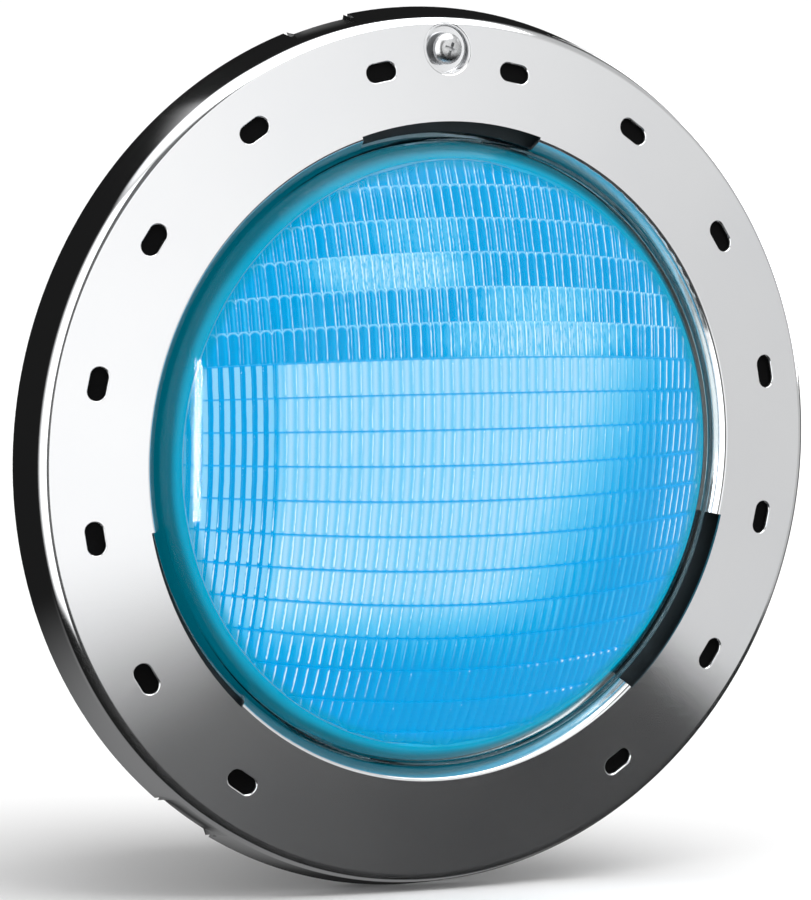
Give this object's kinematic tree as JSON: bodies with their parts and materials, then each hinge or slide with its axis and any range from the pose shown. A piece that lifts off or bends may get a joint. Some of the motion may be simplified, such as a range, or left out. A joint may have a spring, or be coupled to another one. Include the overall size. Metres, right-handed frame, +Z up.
{
  "type": "underwater pool light",
  "caption": "Round wall light for a pool: a slotted polished steel face ring holds a domed, prismatic blue glass lens on a deep-drawn sealed housing with a cord gland behind.",
  "frame": {"origin": "centre of the plane of the face ring's rear edge, where the light meets the wall niche", "axes": "+Y into the wall along the lens axis, +Z up through the pilot screw, +X to the right seen from the pool"},
  "size_m": [0.267, 0.1773, 0.267],
  "materials": {
    "polished_steel": "mirror-polished stainless steel",
    "clamp_steel": "plain stainless steel",
    "drawn_steel": "deep-drawn stainless steel, satin",
    "blue_glass": "clear moulded glass lit blue from behind",
    "black_rubber": "moulded silicone rubber",
    "white_reflector": "glossy white",
    "sink_aluminium": "machined",
    "white_board": "white solder mask",
    "emitter": "clear resin over phosphor",
    "green_board": "green solder mask",
    "brass": "machined",
    "copper": "bare copper",
    "dark_plastic": "moulded"
  },
  "bodies": {
    "light": {"board_screw_1": "clamp_steel", "board_screw_2": "clamp_steel", "board_screw_3": "clamp_steel", "bonding_lug": "copper", "bonding_screw": "brass", "capacitor": "dark_plastic", "clamp_lug_left": "clamp_steel", "clamp_lug_right": "clamp_steel", "clamp_segment_1": "clamp_steel", "clamp_segment_2": "clamp_steel", "clamp_segment_3": "clamp_steel", "clamp_segment_4": "clamp_steel", "clamp_segment_5": "clamp_steel", "clamp_segment_6": "clamp_steel", "clamp_segment_7": "clamp_steel", "clamp_segment_8": "clamp_steel", "clamp_wire": "clamp_steel", "driver_board": "green_board", "earth_lug": "copper", "earth_screw": "brass", "face_ring": "polished_steel", "front_standoff_1": "brass", "front_standoff_2": "brass", "front_standoff_3": "brass", "gland_body": "brass", "gland_locknut": "brass", "gland_nut": "brass", "gland_seal": "black_rubber", "gland_washer": "black_rubber", "heat_sink": "sink_aluminium", "housing_shell": "drawn_steel", "led_1": "emitter", "led_2": "emitter", "led_3": "emitter", "led_4": "emitter", "led_5": "emitter", "led_6": "emitter", "led_7": "emitter", "led_8": "emitter", "led_9": "emitter", "led_board": "white_board", "lens": "blue_glass", "lens_gasket": "black_rubber", "niche_hook": "clamp_steel", "rear_standoff_1": "brass", "rear_standoff_2": "brass", "rear_standoff_3": "brass", "reflector": "white_reflector", "retaining_ring": "clamp_steel", "ring_backing": "black_rubber", "sink_screw_1": "clamp_steel", "sink_screw_2": "clamp_steel", "sink_screw_3": "clamp_steel", "terminal_block": "dark_plastic", "transformer": "copper"},
    "pilot_washer": {"pilot_washer": "black_rubber"},
    "pilot_screw": {"pilot_screw": "polished_steel"},
    "clamp_washer": {"clamp_washer": "clamp_steel"},
    "clamp_screw": {"clamp_screw": "clamp_steel"}
  },
  "joints": [
    {"name": "pilot_travel", "type": "slide", "parent": "light", "child": "pilot_washer", "axis": [0, 1, 0], "range_m": [-0.0117, 0.0012]},
    {"name": "pilot_turn", "type": "hinge", "parent": "pilot_washer", "child": "pilot_screw", "pos_m": [0, -0.0149, 0.1212], "axis": [0, 1, 0], "range_deg": [-3985, 410]},
    {"name": "clamp_travel", "type": "slide", "parent": "light", "child": "clamp_washer", "axis": [1, 0, 0], "range_m": [0, 0.01]},
    {"name": "clamp_turn", "type": "hinge", "parent": "clamp_washer", "child": "clamp_screw", "pos_m": [0.0176, -0.00707, -0.1185], "axis": [1, 0, 0], "range_deg": [0, 4501]}
  ],
  "couplings": [
    {"joint": "pilot_turn", "follows": "pilot_travel", "rad_per_m": 5936.9},
    {"joint": "clamp_turn", "follows": "clamp_travel", "rad_per_m": 7854}
  ]
}
